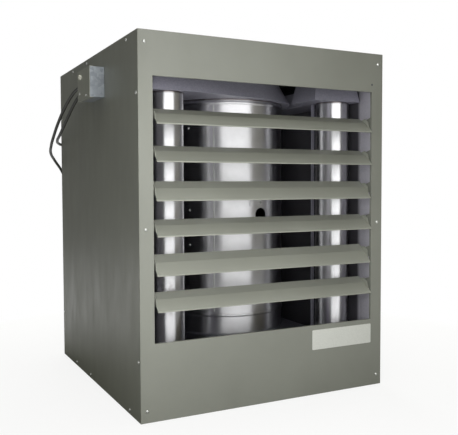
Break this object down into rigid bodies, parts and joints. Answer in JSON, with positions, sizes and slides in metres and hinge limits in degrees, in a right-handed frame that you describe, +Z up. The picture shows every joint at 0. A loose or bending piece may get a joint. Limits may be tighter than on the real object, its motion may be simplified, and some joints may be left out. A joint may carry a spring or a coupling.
{
  "type": "ceiling mounted fan heater",
  "caption": "Oil fired fan heater to hang from a ceiling: sheet steel cabinet, drum and tube heat exchanger behind tilting louvres, rear propeller fan and burner.",
  "frame": {"origin": "centre of the cabinet's underside", "axes": "+Z up towards the hanger nuts, -Y towards the louvred front, +X towards the right as seen from the front"},
  "size_m": [0.8502, 1.0933, 1.023],
  "materials": {
    "cabinet_paint": "satin",
    "polished_steel": "bright brushed",
    "aluminised_steel": "dull aluminised",
    "galvanised_steel": "zinc coated",
    "black_enamel": "satin black",
    "motor_paint": "satin dark grey",
    "cast_aluminium": "as cast",
    "burner_paint": "satin dark grey",
    "cable_jacket": "matte",
    "white_plastic": "gloss",
    "red_plastic": "gloss",
    "copper": "drawn"
  },
  "bodies": {
    "cabinet": {"air_inlet_plate": "burner_paint", "bottom_panel": "cabinet_paint", "burner_air_tube": "aluminised_steel", "burner_cable": "cable_jacket", "burner_flange": "burner_paint", "burner_housing": "burner_paint", "burner_inlet_sleeve": "aluminised_steel", "burner_motor": "motor_paint", "cable_gland_burner": "black_enamel", "cable_gland_fan": "galvanised_steel", "combustion_drum": "polished_steel", "control_box": "galvanised_steel", "control_box_cover": "cabinet_paint", "exchanger_tube_front_left": "polished_steel", "exchanger_tube_front_right": "polished_steel", "exchanger_tube_rear_left": "polished_steel", "exchanger_tube_rear_right": "polished_steel", "fan_guard": "black_enamel", "fan_motor": "motor_paint", "fan_motor_cable": "cable_jacket", "fan_shroud": "galvanised_steel", "fan_switch_body": "black_enamel", "flame_head": "cast_aluminium", "flue_collar": "aluminised_steel", "front_panel": "cabinet_paint", "hanger_nut_1": "galvanised_steel", "hanger_nut_2": "galvanised_steel", "hanger_nut_3": "galvanised_steel", "hanger_nut_4": "galvanised_steel", "header_bottom": "aluminised_steel", "header_brace": "aluminised_steel", "header_top_left": "aluminised_steel", "header_top_right": "aluminised_steel", "heat_shield_left": "aluminised_steel", "heat_shield_right": "aluminised_steel", "ignition_transformer": "burner_paint", "motor_terminal_box": "motor_paint", "observation_tube": "galvanised_steel", "oil_line": "copper", "oil_pump": "cast_aluminium", "primary_control": "black_enamel", "rear_panel": "cabinet_paint", "side_panel_left": "cabinet_paint", "side_panel_right": "cabinet_paint", "support_rail_left": "galvanised_steel", "support_rail_right": "galvanised_steel", "top_panel": "cabinet_paint"},
    "shutter": {"air_shutter": "galvanised_steel"},
    "burner_rotor": {"burner_blower_wheel": "galvanised_steel"},
    "fan_rotor": {"fan_propeller": "cast_aluminium", "fan_shaft": "cast_aluminium"},
    "fan_switch": {"fan_switch_button": "white_plastic"},
    "louver_1": {"louver_blade_1": "cabinet_paint"},
    "louver_2": {"louver_blade_2": "cabinet_paint"},
    "louver_3": {"louver_blade_3": "cabinet_paint"},
    "louver_4": {"louver_blade_4": "cabinet_paint"},
    "louver_5": {"louver_blade_5": "cabinet_paint"},
    "louver_6": {"louver_blade_6": "cabinet_paint"},
    "observation_flap": {"observation_cover": "galvanised_steel"},
    "reset": {"reset_button": "red_plastic"}
  },
  "joints": [
    {"name": "louver_1_tilt", "type": "hinge", "parent": "cabinet", "child": "louver_1", "pos_m": [0, -0.398, 0.81], "axis": [1, 0, 0], "range_deg": [-49, 41]},
    {"name": "louver_2_tilt", "type": "hinge", "parent": "cabinet", "child": "louver_2", "pos_m": [0, -0.398, 0.7118], "axis": [1, 0, 0], "range_deg": [-49, 41]},
    {"name": "louver_3_tilt", "type": "hinge", "parent": "cabinet", "child": "louver_3", "pos_m": [0, -0.398, 0.6136], "axis": [1, 0, 0], "range_deg": [-56, 34]},
    {"name": "louver_4_tilt", "type": "hinge", "parent": "cabinet", "child": "louver_4", "pos_m": [0, -0.398, 0.5154], "axis": [1, 0, 0], "range_deg": [-47, 43]},
    {"name": "louver_5_tilt", "type": "hinge", "parent": "cabinet", "child": "louver_5", "pos_m": [0, -0.398, 0.4172], "axis": [1, 0, 0], "range_deg": [-57, 33]},
    {"name": "louver_6_tilt", "type": "hinge", "parent": "cabinet", "child": "louver_6", "pos_m": [0, -0.398, 0.319], "axis": [1, 0, 0], "range_deg": [-49, 41]},
    {"name": "fan_spin", "type": "hinge", "parent": "cabinet", "child": "fan_rotor", "pos_m": [-0.06, 0.386, 0.63], "axis": [0, 1, 0], "continuous": true},
    {"name": "burner_spin", "type": "hinge", "parent": "cabinet", "child": "burner_rotor", "pos_m": [0.022, 0.577, 0.262], "axis": [1, 0, 0], "continuous": true},
    {"name": "air_shutter_turn", "type": "hinge", "parent": "cabinet", "child": "shutter", "pos_m": [0.0778, 0.577, 0.262], "axis": [1, 0, 0], "range_deg": [0, 40]},
    {"name": "reset_press", "type": "slide", "parent": "cabinet", "child": "reset", "axis": [0, -1, 0], "range_m": [0, 0.003], "stiffness_N_per_m": 200, "springref_m": -0.002},
    {"name": "fan_switch_press", "type": "slide", "parent": "cabinet", "child": "fan_switch", "axis": [1, 0, 0], "range_m": [0, 0.003], "stiffness_N_per_m": 200, "springref_m": -0.002},
    {"name": "observation_cover_swing", "type": "hinge", "parent": "cabinet", "child": "observation_flap", "pos_m": [0.126, 0.428, 0.378], "axis": [0, 1, 0], "range_deg": [-90, 90]}
  ]
}
